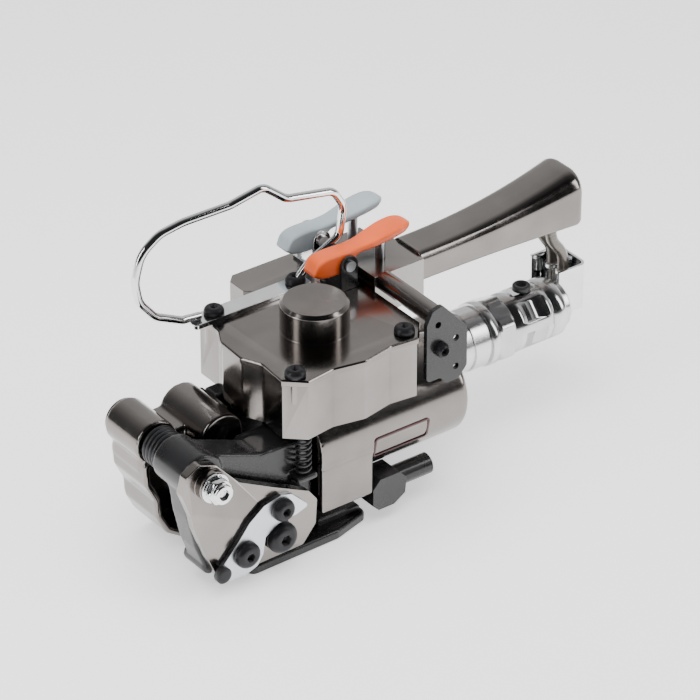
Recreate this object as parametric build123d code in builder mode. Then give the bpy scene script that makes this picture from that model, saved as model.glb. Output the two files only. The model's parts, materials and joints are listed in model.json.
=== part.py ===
"""Pneumatic strapping tensioner, in millimetres.

+X runs from the front pivot to the back of the handle, +Z is up, and the side
with the feed wheel faces -Y. The origin is on the underside of the base plate,
straight below the centre of the round boss on the top cover.
"""
import math
import os

from build123d import *

os.makedirs("parts", exist_ok=True)

# ---------------------------------------------------------------- driving sizes
pivot_x, pivot_z = -104.0, 76.0
pin_radius = 5.0
running_gap = 0.05

base_thick = 6.0
face_y = -43.0
boss_face = face_y - 5
plate_thick = 6.0

case_bottom, case_top = 79.0, 114.0
cover_top = 118.0
wall = 4.0

drive_y, drive_z = -11.0, 58.0
drive_radius = 30.0
drive_front, drive_back = -25.0, 81.0
motor_y = 15.0
motor_front, motor_back = 95.0, 190.0
body_back = motor_back - 6
plug_x = 162.0
gear_module = 1.0
pinion_teeth, gear_teeth = 17, 35
gear_x0, gear_x1 = 60.0, 70.0

wheel_x, wheel_z = -57.0, 22.5
wheel_radius = 15.0

handle_front, handle_back = 87.0, 204.0
handle_bottom = 109.5
handle_y0, handle_y1 = 10.0, 46.0
handle_hose_x, bracket_hose_x = 190.0, 200.0
inlet_z = 126.0

lever_pivot_dx, lever_pivot_z = 40.0, 134.0
lever_width = 12.0
paddle_width = 17.0
orange_y, grey_y = 29.0, 61.0
grey_dx = 4.0

screw_shank = 2.5
cover_screws_xy = [(-39, -35), (37, -35), (-40, 42), (17, 42)]


# ---------------------------------------------------------------- small helpers
def box_between(x, y, z, mode=Mode.ADD):
    """A box from (low, high) pairs on the three axes."""
    middle = ((x[0] + x[1]) / 2, (y[0] + y[1]) / 2, (z[0] + z[1]) / 2)
    with Locations(middle):
        Box(x[1] - x[0], y[1] - y[0], z[1] - z[0], mode=mode)


def rod_y(x, z, radius, y0, y1, mode=Mode.ADD):
    """A round bar along Y."""
    with Locations((x, (y0 + y1) / 2, z)):
        Cylinder(radius, y1 - y0, rotation=(90, 0, 0), mode=mode)


def rod_x(y, z, radius, x0, x1, mode=Mode.ADD):
    """A round bar along X."""
    with Locations(((x0 + x1) / 2, y, z)):
        Cylinder(radius, x1 - x0, rotation=(0, 90, 0), mode=mode)


def rod_z(x, y, radius, z0, z1, mode=Mode.ADD):
    """A round bar along Z."""
    with Locations((x, y, (z0 + z1) / 2)):
        Cylinder(radius, z1 - z0, mode=mode)


def wall_plane(y):
    """A vertical drawing plane that looks from -Y, with X right and Z up."""
    return Plane(origin=(0, y, 0), x_dir=(1, 0, 0), z_dir=(0, -1, 0))


def save(part, name):
    """Name a finished piece and write its file."""
    part.label = name
    export_step(part, f"parts/{name}.step")


def tooth_points(teeth, pitch_radius, tip, root, fill, turn=0.0):
    """Corner points of a wheel with straight-sided teeth."""
    points = []
    pitch = 2 * math.pi / teeth
    for tooth in range(teeth):
        middle = turn + tooth * pitch
        for radius, share in ((root, -0.36), (tip, -0.14), (tip, 0.14), (root, 0.36)):
            angle = middle + pitch * share * fill
            reach = pitch_radius + radius
            points.append((reach * math.cos(angle), reach * math.sin(angle)))
    return points


# ---------------------------------------------------------------- base and frame
base_outline = [(-80, -28), (-73, -41), (-13, -40), (12, -33), (12, 30), (4, 38), (-68, 38), (-80, 26)]
with BuildPart() as base_plate:
    with BuildSketch(Plane.XY) as base_sketch:
        with BuildLine():
            Polyline(*base_outline, close=True)
        make_face()
        fillet(base_sketch.vertices(), radius=5)
    extrude(amount=base_thick)
    chamfer(base_plate.faces().sort_by(Axis.Z)[-1].edges(), length=1.2)
save(base_plate.part, "base_plate")

with BuildPart() as base_pad:
    box_between((-20, 9), (-30, 22), (base_thick, base_thick + 4))
    chamfer(base_pad.faces().sort_by(Axis.Z)[-1].edges(), length=1)
save(base_pad.part, "base_pad")

with BuildPart() as base_gripper:
    box_between((wheel_x - 11, wheel_x + 11), (-36, -18), (base_thick, base_thick + 1.0))
    for tooth in range(10):
        groove_x = wheel_x - 9 + 2 * tooth
        groove = (groove_x - 0.4, groove_x + 0.4)
        box_between(groove, (-37, -17), (base_thick + 0.6, base_thick + 2), Mode.SUBTRACT)
save(base_gripper.part, "base_gripper")

frame_outline = [(-52, base_thick), (8, base_thick), (47, 40), (47, case_bottom), (-52, case_bottom)]
with BuildPart() as side_frame:
    with BuildSketch(wall_plane(36)):
        with BuildLine():
            Polyline(*frame_outline, close=True)
        make_face()
    extrude(amount=11)
    with BuildSketch(wall_plane(36)):
        with Locations((-20, 42), (16, 48)):
            RectangleRounded(24, 34, 6)
    extrude(amount=3, mode=Mode.SUBTRACT)
save(side_frame.part, "side_frame")

fender_outline = [(-66, 6), (-88, 6), (-100, 14), (-106, 26), (-107, 38), (-113, 50), (-114, 66), (-66, 66)]
bridge_outline = [(-114, 58), (-114, pivot_z), (-94, pivot_z), (-52, 79), (-52, 56), (-66, 56), (-90, 62)]
with BuildPart() as front_housing:
    with BuildSketch(wall_plane(40)) as fender_sketch:
        with BuildLine():
            Polyline(*fender_outline, close=True)
        make_face()
        fillet(fender_sketch.vertices(), radius=4)
    extrude(amount=34)
    with BuildSketch(wall_plane(30)):
        with BuildLine():
            Polyline(*fender_outline, close=True)
        make_face()
        offset(amount=-wall, kind=Kind.INTERSECTION, mode=Mode.REPLACE)
    extrude(amount=30, mode=Mode.SUBTRACT)
    with BuildSketch(wall_plane(38)):
        with BuildLine():
            Polyline(*bridge_outline, close=True)
        make_face()
    extrude(amount=26)
    rod_y(pivot_x, pivot_z, 13.5, 8, 40)
    rod_y(-68, 73, 14, -5, 38)
    rod_y(pivot_x, pivot_z, pin_radius + running_gap, 0, 45, Mode.SUBTRACT)
save(front_housing.part, "front_housing")

with BuildPart() as pivot_end_cap:
    rod_y(pivot_x, pivot_z, 12, 40, 43)
    chamfer(pivot_end_cap.faces().sort_by(Axis.Y)[-1].edges(), length=1)
save(pivot_end_cap.part, "pivot_end_cap")

nut_face = boss_face - 1.8
with BuildPart() as pivot_bolt:
    rod_y(pivot_x, pivot_z, pin_radius, nut_face - 5, 39)
    with BuildSketch(wall_plane(nut_face)):
        with Locations((pivot_x, pivot_z)):
            RegularPolygon(8.2, 6)
    extrude(amount=5.5)
    rod_y(pivot_x, pivot_z, 6.2, nut_face - 8.3, nut_face - 5.5)
    with BuildSketch(wall_plane(nut_face - 8.3)):
        with Locations((pivot_x, pivot_z)):
            RegularPolygon(3.4, 6)
    extrude(amount=-4, mode=Mode.SUBTRACT)
save(pivot_bolt.part, "pivot_bolt")

with BuildPart() as pivot_washer:
    rod_y(pivot_x, pivot_z, 9, nut_face, boss_face - 0.2)
    rod_y(pivot_x, pivot_z, pin_radius, nut_face - 1, boss_face, Mode.SUBTRACT)
save(pivot_washer.part, "pivot_washer")

# the torsion spring is a closed wire coil round the pivot bolt
spring_mean, spring_wire, spring_turns, spring_pitch = 10.5, 1.5, 4, 3.1
with BuildPart() as rocker_spring:
    coil = Helix(pitch=spring_pitch, height=spring_pitch * spring_turns, radius=spring_mean)
    coil = coil.rotate(Axis.X, 90).moved(Location((pivot_x, 6.2, pivot_z)))
    with BuildSketch(Plane(origin=coil @ 0, z_dir=coil % 0)):
        Circle(spring_wire)
    sweep(path=coil)
save(rocker_spring.part, "rocker_spring")

# ---------------------------------------------------------------- gear case and cover
cover_outline = [
    (-46, 50), (-46, 30), (-52, 19), (-53, -2), (-47, -15), (-48.5, -34.5), (-37, -45), (-18, -42.5),
    (2, -46.5), (22, -42.5), (40, -44.5), (51, -32), (51, 50),
]
round_corners = slice(1, 5), slice(7, 10)
cover_round = 7.0


def soft_corners(sketch):
    """The corners of the scalloped outline that the casting rounds off."""
    soft = [corner for part in round_corners for corner in cover_outline[part]]
    return [v for v in sketch.vertices() if any(math.dist((v.X, v.Y), c) < 0.01 for c in soft)]


with BuildPart() as gear_case:
    with BuildSketch(Plane.XY.offset(case_bottom)) as case_outside:
        with BuildLine():
            Polyline(*cover_outline, close=True)
        make_face()
        fillet(soft_corners(case_outside), radius=cover_round)
        offset(amount=-1, kind=Kind.INTERSECTION, mode=Mode.REPLACE)
    extrude(amount=case_top - case_bottom)
    with BuildSketch(Plane.XY.offset(case_bottom)) as case_inside:
        with BuildLine():
            Polyline(*cover_outline, close=True)
        make_face()
        fillet(soft_corners(case_inside), radius=cover_round)
        offset(amount=-1 - wall, kind=Kind.INTERSECTION, mode=Mode.REPLACE)
    extrude(amount=case_top - case_bottom, mode=Mode.SUBTRACT)
    for x, y in cover_screws_xy:
        rod_z(x, y, 5.5, case_top - 12, case_top)
        rod_z(x, y, screw_shank, case_top - 12, case_top + 1, Mode.SUBTRACT)
    rod_x(drive_y, drive_z + 13, drive_radius + 3, 38, 60, Mode.SUBTRACT)
    rod_x(drive_y, drive_z, drive_radius + 3, 38, 60, Mode.SUBTRACT)
save(gear_case.part, "gear_case")

boss_radius, boss_top = 20.0, 136.0
with BuildPart() as top_cover:
    with BuildSketch(Plane.XY.offset(case_top)) as cover_face:
        with BuildLine():
            Polyline(*cover_outline, close=True)
        make_face()
        fillet(soft_corners(cover_face), radius=cover_round)
    extrude(amount=cover_top - case_top)
    chamfer(top_cover.faces().sort_by(Axis.Z)[-1].edges(), length=0.8)
    rod_z(0, 0, boss_radius, cover_top, boss_top)
    chamfer(top_cover.faces().sort_by(Axis.Z)[-1].edges(), length=2)
    rod_z(0, 0, 15, case_top, boss_top - 4, Mode.SUBTRACT)
    for x, y in cover_screws_xy:
        rod_z(x, y, screw_shank, case_top - 1, cover_top + 1, Mode.SUBTRACT)
save(top_cover.part, "top_cover")

# two of the cover screws also hold the hanger strap, whose top is strap_thick higher
strap_thick = 3.0
with BuildPart() as cover_screws:
    for x, y in cover_screws_xy:
        seat = cover_top + (strap_thick if y > 0 else 0)
        rod_z(x, y, screw_shank - 0.02, case_top - 8, seat)
        rod_z(x, y, 6.0, seat, seat + 2.5)
        with Locations((x, y, seat + 3.5)):
            Cone(6.0, 4.0, 2.0)
        rod_z(x, y, 2.0, seat + 2.0, seat + 5, Mode.SUBTRACT)
save(cover_screws.part, "cover_screws")

wire_radius, strap_y = 2.5, 42.0
loop_points = [
    (-48, 122.5), (-64, 124), (-82, 134), (-93, 156), (-88, 178), (-66, 187), (-28, 187), (-5, 191.5),
    (12, 178), (44, 172), (51.5, 158), (47, 139), (27, 131), (20, 122.5),
]
with BuildPart() as hanger:
    box_between((-57, 25), (strap_y - 6, strap_y + 6), (cover_top, cover_top + strap_thick))
    with BuildLine(Plane.XZ.offset(-strap_y)) as loop_path:
        FilletPolyline(*loop_points, radius=[4, 14, 12, 12, 14, 14, 9, 9, 7, 7, 7, 6])
    with BuildSketch(Plane(origin=loop_path.line @ 0, z_dir=loop_path.line % 0)):
        Circle(wire_radius)
    sweep(path=loop_path.line)
    box_between((-60, 30), (strap_y - 8, strap_y + 8), (cover_top - 5, cover_top), Mode.SUBTRACT)
    for x, y in cover_screws_xy[2:]:
        rod_z(x, y, screw_shank, cover_top - 1, cover_top + 9, Mode.SUBTRACT)
        rod_z(x, y, 6.2, cover_top + strap_thick, cover_top + 9, Mode.SUBTRACT)
save(hanger.part, "hanger")

# ---------------------------------------------------------------- welding drive under the boss
with BuildPart() as vibration_bearing:
    rod_z(0, 0, 15, 120, 126)
    rod_z(0, 0, 6 + running_gap, 119, 127, Mode.SUBTRACT)
save(vibration_bearing.part, "vibration_bearing")

with BuildPart() as vibration_shaft:
    rod_z(0, 0, 6, 106, 130)
    rod_z(0, 0, 9, 106, 112)
save(vibration_shaft.part, "vibration_shaft")

with BuildPart() as vibration_weight:
    with BuildSketch(Plane.XY.offset(112)):
        Circle(13)
        with Locations((-13, 0)):
            Rectangle(16, 26, mode=Mode.SUBTRACT)
        Circle(10)
        Circle(6, mode=Mode.SUBTRACT)
    extrude(amount=6)
save(vibration_weight.part, "vibration_weight")

# ---------------------------------------------------------------- valve block, levers, handle
with BuildPart() as valve_block:
    box_between((-10, 87), (51, 74), (92, cover_top))
    chamfer(valve_block.edges().filter_by(Axis.Z).group_by(Axis.X)[0], length=5)
    box_between((63, 87), (12, 52), (100, 126))
    box_between((51.5, 64), (12, 52), (100, 126))
    rod_z(68, orange_y, 3, 104, 130, Mode.SUBTRACT)
    rod_z(68 + grey_dx, grey_y, 3, 104, 130, Mode.SUBTRACT)
    rod_y(4, 104, 4, 73, 75, Mode.SUBTRACT)
save(valve_block.part, "valve_block")

lever_profile = [
    (17, 133), (20, 139.5), (26, 142), (34, 142), (44, 141.6), (56, 142.6), (68, 145), (80, 146.5), (86, 145.5),
    (87, 142.5), (80, 141), (68, 139.5), (56, 137.5), (47, 136.5), (43, 129.5), (36, 128), (26, 128.5),
]
paddle_half = [(16, 6), (50, 6), (60, 7.6), (70, 8.4), (78, 8), (84, 5.5), (87, 2)]


def press_lever(y_middle, shift):
    """A thumb lever with the hole for its pin."""
    with BuildPart() as lever:
        with BuildSketch(wall_plane(y_middle + paddle_width / 2)):
            with BuildLine():
                Polyline(*[(x + shift, z) for x, z in lever_profile], close=True)
            make_face()
        extrude(amount=paddle_width)
        fillet(lever.edges().filter_by(Axis.Y), radius=1.0)
        near_side = [(x + shift, y_middle - half) for x, half in paddle_half]
        far_side = [(x + shift, y_middle + half) for x, half in reversed(paddle_half)]
        with BuildSketch(Plane.XY.offset(120)):
            with BuildLine():
                Polyline(*near_side, *far_side, close=True)
            make_face()
        extrude(amount=40, mode=Mode.INTERSECT)
        pin_hole = 2.5 + running_gap
        rod_y(lever_pivot_dx + shift, lever_pivot_z, pin_hole, y_middle - 8, y_middle + 8, Mode.SUBTRACT)
    return lever.part


def lever_bracket(y_middle, shift):
    """A folded bracket whose two ears carry the lever's pin."""
    ear = lever_width / 2 + 0.4
    x = lever_pivot_dx + shift
    with BuildPart() as bracket:
        box_between((x - 9, x + 7), (y_middle - ear - 2, y_middle + ear + 2), (cover_top, cover_top + 2))
        for side in (-1, 1):
            y = y_middle + side * (ear + 1)
            box_between((x - 6, x + 6), (y - 1, y + 1), (cover_top, lever_pivot_z))
            rod_y(x, lever_pivot_z, 6, y - 1, y + 1)
            rod_y(x, lever_pivot_z, 2.5, y - 2, y + 2, Mode.SUBTRACT)
    return bracket.part


def lever_pin(y_middle, shift):
    """The pin through a bracket and its lever."""
    reach = lever_width / 2 + 2.4
    with BuildPart() as pin:
        rod_y(lever_pivot_dx + shift, lever_pivot_z, 2.5, y_middle - reach, y_middle + reach)
        rod_y(lever_pivot_dx + shift, lever_pivot_z, 3.4, y_middle - reach - 1.5, y_middle - reach)
    return pin.part


def valve_plunger(y_middle, shift):
    """The plunger that a lever pushes down into the valve block."""
    with BuildPart() as plunger:
        rod_z(68 + shift, y_middle, 3 - running_gap, 108, 137.8)
        fillet(plunger.faces().sort_by(Axis.Z)[-1].edges(), radius=2)
    return plunger.part


for lever_name, lever_y, lever_shift in (("tension", orange_y, 0), ("weld", grey_y, grey_dx)):
    save(press_lever(lever_y, lever_shift), f"{lever_name}_lever")
    save(lever_bracket(lever_y, lever_shift), f"{lever_name}_lever_bracket")
    save(lever_pin(lever_y, lever_shift), f"{lever_name}_lever_pin")
    save(valve_plunger(lever_y, lever_shift), f"{lever_name}_plunger")

handle_middle = (handle_y0 + handle_y1) / 2
with BuildPart() as handle:
    for x, width, high in ((handle_front, 28, 128), (146, 31, 131), (handle_back, 38, 144)):
        middle = (x, handle_middle, (handle_bottom + high) / 2)
        with BuildSketch(Plane(origin=middle, x_dir=(0, 1, 0), z_dir=(1, 0, 0))):
            RectangleRounded(width, high - handle_bottom, 6)
    loft()
    rod_x(handle_middle, inlet_z, 8.0, handle_back - 27, handle_back + 1, Mode.SUBTRACT)
    for y in (handle_middle - 5, handle_middle + 5):
        rod_z(handle_hose_x, y, 3.6, handle_bottom - 1, handle_bottom + 6, Mode.SUBTRACT)
save(handle.part, "handle")

with BuildPart() as air_inlet:
    rod_x(handle_middle, inlet_z, 8.0, handle_back - 20, handle_back)
    rod_x(handle_middle, inlet_z, 9.5, handle_back, handle_back + 3)
    rod_x(handle_middle, inlet_z, 5.8, handle_back - 25, handle_back + 4, Mode.SUBTRACT)
save(air_inlet.part, "air_inlet")

# ---------------------------------------------------------------- side bracket and tie tube
bracket_outline = [
    (47, 84), (47, 122), (51, 130), (58, 132), (76, 112), (76, 86), (70, 79), (61, 79), (57, 84),
]
bracket_holes = [(55, 120), (68, 107), (68, 88)]
bracket_screw_x, bracket_screw_z = 56.5, 104.0
with BuildPart() as side_bracket:
    with BuildSketch(wall_plane(-40)) as bracket_sketch:
        with BuildLine():
            Polyline(*bracket_outline, close=True)
        make_face()
        fillet(bracket_sketch.vertices(), radius=3)
        with Locations(*bracket_holes):
            Circle(2, mode=Mode.SUBTRACT)
        with Locations((bracket_screw_x, bracket_screw_z)):
            Circle(3, mode=Mode.SUBTRACT)
    extrude(amount=3)
save(side_bracket.part, "side_bracket")

with BuildPart() as tie_tube:
    rod_y(58, 122, 6, -40, 12)
    rod_y(58, 122, 3.5, -41, 0, Mode.SUBTRACT)
    box_between((50, 66), (11.9, 13), (100, 130), Mode.SUBTRACT)
    box_between((52, 61), (-40, -34), (98, 117.5))
    rod_y(bracket_screw_x, bracket_screw_z, 3, -41, -33, Mode.SUBTRACT)
save(tie_tube.part, "tie_tube")

with BuildPart() as bracket_screw:
    rod_y(bracket_screw_x, bracket_screw_z, 2.95, face_y, -35)
    rod_y(bracket_screw_x, bracket_screw_z, 4.5, face_y - 5, face_y)
    with BuildSketch(wall_plane(face_y - 5)):
        with Locations((bracket_screw_x, bracket_screw_z)):
            RegularPolygon(2.5, 6)
    extrude(amount=-3, mode=Mode.SUBTRACT)
save(bracket_screw.part, "bracket_screw")

# ---------------------------------------------------------------- rocker arm and side plate
arm_outline = [(-104, 63), (-101, 89), (-62, 74), (-27, 73), (-27, 29), (-38, 32), (-62, 44)]
inner_outline = [(-70, 60), (-70, 16), (-64, 9.5), (-38, 9.5), (-27, 20), (-27, 73), (-62, 73)]
nose_outline = [(-117, 76), (-114, 52), (-109, 30), (-103, 14), (-92, 14), (-94, 36), (-98, 64)]
with BuildPart() as rocker_arm:
    rod_y(pivot_x, pivot_z, 14, -36.6, -8)
    with BuildSketch(wall_plane(-14)):
        with BuildLine():
            Polyline(*arm_outline, close=True)
        make_face()
    extrude(amount=20)
    with BuildSketch(wall_plane(-8)):
        with BuildLine():
            Polyline(*inner_outline, close=True)
        make_face()
    extrude(amount=6)
    with BuildSketch(wall_plane(-20)):
        with BuildLine():
            Polyline(*nose_outline, close=True)
        make_face()
    extrude(amount=16.6)
    rod_y(-99, 15, 5.5, -36.6, -16)
    box_between((-43, -29), (-43, -34), (50, 54))
    rod_y(pivot_x, pivot_z, pin_radius + running_gap, -40, 0, Mode.SUBTRACT)
    rod_y(wheel_x, wheel_z, 5 + running_gap, -15, -7, Mode.SUBTRACT)
save(rocker_arm.part, "rocker_arm")

with BuildPart() as rocker_plate:
    with BuildSketch(wall_plane(face_y + plate_thick)) as plate_sketch:
        with BuildLine():
            Polyline(
                (-122, 74), (-119, 85), (-110, 90), (-99, 86), (-84, 69), (-58, 55), (-36, 44), (-30, 36),
                (-31, 20), (-40, 9), (-84, 8), (-99, 10), (-106, 26), (-114, 48), (-116, 58), close=True,
            )
        make_face()
        fillet(plate_sketch.vertices(), radius=3)
    extrude(amount=plate_thick)
    rod_y(pivot_x, pivot_z, 9.5, boss_face, face_y)
    rod_y(pivot_x, pivot_z, pin_radius + running_gap, boss_face - 1, -30, Mode.SUBTRACT)
    rod_y(wheel_x, wheel_z, 5 + running_gap, -45, -30, Mode.SUBTRACT)
save(rocker_plate.part, "rocker_plate")

pin_x, pin_z = -99.0, 15.0
screw_places = ((-57, 42, 7.0), (-82, 21.5, 8.0))
guide_outline = [
    (-103, 13), (-96, 21), (-87, 31), (-79, 41), (-69, 48.5), (-57, 51), (-50, 49), (-38, 37), (-46, 34),
    (-59, 32.5), (-68, 27), (-70, 16), (-74, 10), (-82, 7), (-100, 8),
]
with BuildPart() as guide_plate:
    with BuildSketch(wall_plane(face_y)) as guide_sketch:
        with BuildLine():
            Polyline(*guide_outline, close=True)
        make_face()
        fillet(guide_sketch.vertices(), radius=1.5)
    extrude(amount=3)
    rod_y(pin_x, pin_z, 3, -47, -42, Mode.SUBTRACT)
save(guide_plate.part, "guide_plate")

with BuildPart() as guide_screws:
    for x, z, radius in screw_places:
        rod_y(x, z, radius, face_y - 8.5, face_y - 3)
    chamfer(guide_screws.edges().filter_by(GeomType.CIRCLE).group_by(Axis.Y)[0], length=1.5)
    for x, z, _ in screw_places:
        with BuildSketch(wall_plane(face_y - 8.5)):
            with Locations((x, z)):
                RegularPolygon(2.6, 6)
        extrude(amount=-3.5, mode=Mode.SUBTRACT)
save(guide_screws.part, "guide_screws")

with BuildPart() as guide_pin:
    rod_y(pin_x, pin_z, 3, face_y - 3, face_y)
    rod_y(pin_x, pin_z, 5, face_y - 7, face_y - 3)
save(guide_pin.part, "guide_pin")

wheel_teeth = tooth_points(36, wheel_radius, 0, -0.6, 1.0)
with BuildPart() as feed_wheel:
    with BuildSketch(wall_plane(-15)):
        with BuildLine():
            Polyline(*[(x + wheel_x, z + wheel_z) for x, z in wheel_teeth], close=True)
        make_face()
    extrude(amount=19)
    rod_y(wheel_x, wheel_z, 5, -35, -14, Mode.SUBTRACT)
save(feed_wheel.part, "feed_wheel")

with BuildPart() as feed_shaft:
    rod_y(wheel_x, wheel_z, 5, -44, -8)
    rod_y(wheel_x, wheel_z, 9.5, -50.5, -44)
    chamfer(feed_shaft.faces().sort_by(Axis.Y)[0].edges(), length=1.5)
    with BuildSketch(wall_plane(-50.5)):
        with Locations((wheel_x, wheel_z)):
            RegularPolygon(3.2, 6)
    extrude(amount=-4, mode=Mode.SUBTRACT)
save(feed_shaft.part, "feed_shaft")

# compression spring between the rocker's ledge and the gear case
with BuildPart() as return_spring:
    lift_coil = Helix(pitch=3.9, height=22.4, radius=4, center=(-37, -39.5, 55.2))
    with BuildSketch(Plane(origin=lift_coil @ 0, z_dir=lift_coil % 0)):
        Circle(0.8)
    sweep(path=lift_coil)
save(return_spring.part, "return_spring")

# ---------------------------------------------------------------- drive housing and gears
with BuildPart() as drive_housing:
    rod_x(drive_y, drive_z, drive_radius, drive_front, drive_back)
    fillet(drive_housing.faces().sort_by(Axis.X)[-1].edges(), radius=4)
    rod_x(motor_y, drive_z, 23, 53, motor_front)
    box_between((drive_front, 11), (-41, -6), (22, 50))
    rod_x(drive_y, drive_z, 25, drive_front + 6, drive_back - 6, Mode.SUBTRACT)
    rod_x(motor_y, drive_z, 18, 58, drive_back - 6, Mode.SUBTRACT)
    rod_x(motor_y, drive_z, 5 + running_gap, 70, motor_front + 1, Mode.SUBTRACT)
    rod_x(drive_y, drive_z, 6 + running_gap, drive_front + 2, drive_back - 3, Mode.SUBTRACT)
save(drive_housing.part, "drive_housing")

with BuildPart() as label_plate:
    rod_x(drive_y, drive_z, drive_radius + 0.7, 12, 51)
    rod_x(drive_y, drive_z, drive_radius, 11, 52, Mode.SUBTRACT)
    box_between((10, 53), (-60, 30), (59, 100), Mode.SUBTRACT)
    box_between((10, 53), (-60, 30), (10, 45), Mode.SUBTRACT)
    box_between((10, 53), (drive_y, 30), (44, 60), Mode.SUBTRACT)
save(label_plate.part, "label_plate")

with BuildPart() as drive_shaft:
    rod_x(drive_y, drive_z, 6, drive_front + 2.2, drive_back - 3.2)
save(drive_shaft.part, "drive_shaft")


def spur_gear(teeth, bore, y, turn):
    """A straight-toothed gear across X."""
    pitch_radius = teeth * gear_module / 2
    corners = tooth_points(teeth, pitch_radius, 0.8, -1.2, 0.85, turn)
    with BuildPart() as gear:
        with BuildSketch(Plane(origin=(gear_x0, y, drive_z), x_dir=(0, 1, 0), z_dir=(1, 0, 0))):
            with BuildLine():
                Polyline(*corners, close=True)
            make_face()
            Circle(bore, mode=Mode.SUBTRACT)
        extrude(amount=gear_x1 - gear_x0)
    return gear.part


save(spur_gear(gear_teeth, 6, drive_y, 0), "drive_gear")
save(spur_gear(pinion_teeth, 5, motor_y, math.pi + math.pi / pinion_teeth), "motor_pinion")

# ---------------------------------------------------------------- air motor
with BuildPart() as motor_sleeve:
    rod_x(motor_y, drive_z, 19, motor_front, 132)
    rod_x(motor_y, drive_z, 20, 128, 133)
    rod_x(motor_y, drive_z, 13, 100, 134, Mode.SUBTRACT)
    rod_x(motor_y, drive_z, 5 + running_gap, motor_front - 1, 101, Mode.SUBTRACT)
save(motor_sleeve.part, "motor_sleeve")

with BuildPart() as motor_nut:
    with BuildSketch(Plane(origin=(133, motor_y, drive_z), x_dir=(0, 1, 0), z_dir=(1, 0, 0))):
        RegularPolygon(21.5, 6, rotation=15)
        Circle(13, mode=Mode.SUBTRACT)
    extrude(amount=12)
save(motor_nut.part, "motor_nut")

with BuildPart() as motor_body:
    rod_x(motor_y, drive_z, 18.5, 145, body_back)
    fillet(motor_body.faces().sort_by(Axis.X)[-1].edges(), radius=2)
    rod_x(motor_y, drive_z, 13, 144, body_back - 4, Mode.SUBTRACT)
    rod_z(plug_x, motor_y, 3, 70, 80, Mode.SUBTRACT)
save(motor_body.part, "motor_body")

with BuildPart() as motor_rotor:
    rod_x(motor_y, drive_z, 5, gear_x0 - 1, 172)
    rod_x(motor_y, drive_z, 11, 104, 170)
    for turn in range(5):
        angle = math.radians(72 * turn)
        y, z = motor_y + 10.5 * math.cos(angle), drive_z + 10.5 * math.sin(angle)
        rod_x(y, z, 0.9, 103, 171, Mode.SUBTRACT)
save(motor_rotor.part, "motor_rotor")

with BuildPart() as motor_end_cap:
    rod_x(motor_y, drive_z, 15, body_back, motor_back)
    chamfer(motor_end_cap.faces().sort_by(Axis.X)[-1].edges(), length=1.5)
save(motor_end_cap.part, "motor_end_cap")

with BuildPart() as motor_plug:
    rod_z(plug_x, motor_y, 2.95, 72, 76.4)
    rod_z(plug_x, motor_y, 5.5, 76.6, 80.5)
    rod_z(plug_x, motor_y, 2.9, 75, 77)
    rod_z(plug_x, motor_y, 2.6, 78, 81, Mode.SUBTRACT)
save(motor_plug.part, "motor_plug")

# ---------------------------------------------------------------- hose bracket, elbows and hoses
hose_ys = (handle_middle - 5, handle_middle + 5)
bracket_back = motor_back + 22
with BuildPart() as hose_bracket:
    box_between((motor_back, bracket_back), (handle_middle - 14, handle_middle - 12), (48, 78))
    box_between((bracket_back - 2, bracket_back), (handle_middle - 14, handle_middle + 14), (48, 78))
    box_between((motor_back, motor_back + 2), (handle_middle - 14, handle_middle + 6), (42, 60))
    box_between((motor_back, bracket_back), (handle_middle + 12, handle_middle + 14), (48, 78))
    box_between((motor_back, bracket_back), (handle_middle - 14, handle_middle + 14), (60, 62))
    box_between((motor_back, motor_back + 2), (handle_middle - 14, handle_middle + 14), (48, 62))
save(hose_bracket.part, "hose_bracket")

with BuildPart() as hose_fittings:
    for y in hose_ys:
        rod_z(bracket_hose_x, y, 4.2, 62, 72)
        rod_z(bracket_hose_x, y, 4.8, 72, 74)
save(hose_fittings.part, "hose_fittings")

with BuildPart() as handle_fittings:
    for y in hose_ys:
        rod_z(handle_hose_x, y, 3.6, handle_bottom - 2, handle_bottom + 6)
        rod_z(handle_hose_x, y, 4.8, handle_bottom - 3, handle_bottom)
save(handle_fittings.part, "handle_fittings")

hose_route = [
    (handle_hose_x, handle_bottom - 3), (handle_hose_x, 98), (bracket_hose_x, 84), (bracket_hose_x, 74),
]
for hose_name, y in zip(("near_hose", "far_hose"), hose_ys):
    with BuildPart() as hose:
        with BuildLine(Plane.XZ.offset(-y)) as hose_path:
            FilletPolyline(*hose_route, radius=5.5)
        with BuildSketch(Plane(origin=hose_path.line @ 0, z_dir=hose_path.line % 0)):
            Circle(3.6)
        sweep(path=hose_path.line)
    save(hose.part, hose_name)

# ---------------------------------------------------------------- rear strap guide
hook_outline = [(11, 13), (11, 24), (16, 29.5), (30, 29.5), (35, 24), (34, 14), (26, 9), (15, 9)]
with BuildPart() as rear_guide:
    with BuildSketch(wall_plane(-24)):
        with BuildLine():
            Polyline(*hook_outline, close=True)
        make_face()
    extrude(amount=17)
    rod_x(-31, 20, 6.5, 30, 57)
    rod_x(drive_y, drive_z, drive_radius, 0, 70, Mode.SUBTRACT)
save(rear_guide.part, "rear_guide")
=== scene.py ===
"""Looks of a pneumatic strapping tensioner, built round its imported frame."""

import json
import math

import bmesh
import bpy
from mathutils import Matrix, Vector

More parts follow.
